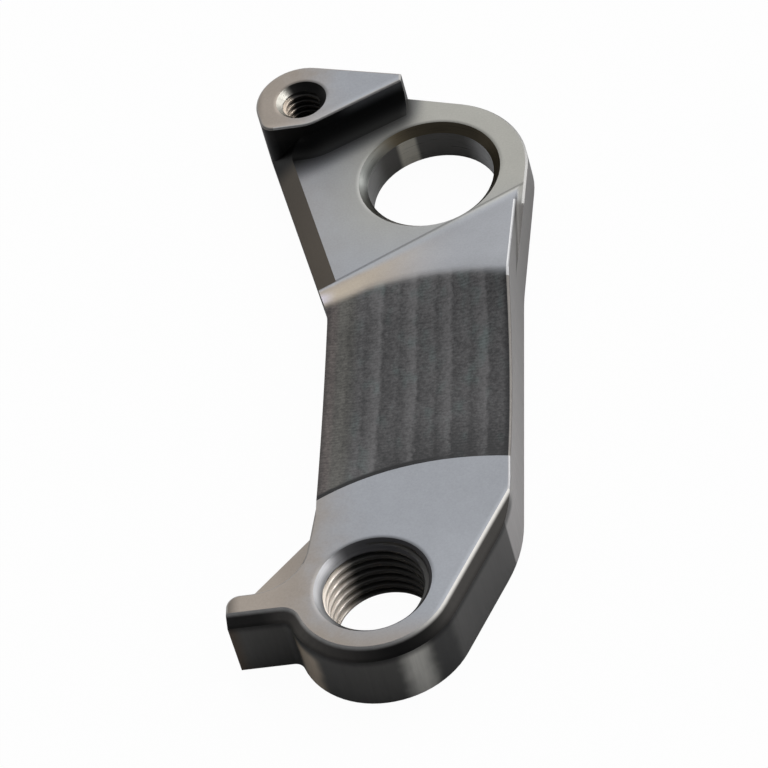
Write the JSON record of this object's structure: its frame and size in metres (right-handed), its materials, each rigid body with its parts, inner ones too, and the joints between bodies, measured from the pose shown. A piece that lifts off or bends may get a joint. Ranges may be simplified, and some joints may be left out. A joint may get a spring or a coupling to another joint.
{
  "type": "bicycle derailleur hanger",
  "caption": "Milled aluminium bicycle derailleur hanger with a through-axle bore, a fixing screw boss, a hollowed arm and a threaded derailleur eye with a stop tab.",
  "frame": {"origin": "axis of the derailleur thread at the flat back face", "axes": "+Z out of the outer face along the thread, +Y up the arm towards the wheel axle, +X to the right seen from outside"},
  "size_m": [0.0263, 0.074, 0.008],
  "materials": {
    "milled_aluminium": "satin, with cutter lines across the hollowed arm"
  },
  "bodies": {
    "root": {"hanger": "milled_aluminium"}
  },
  "joints": []
}
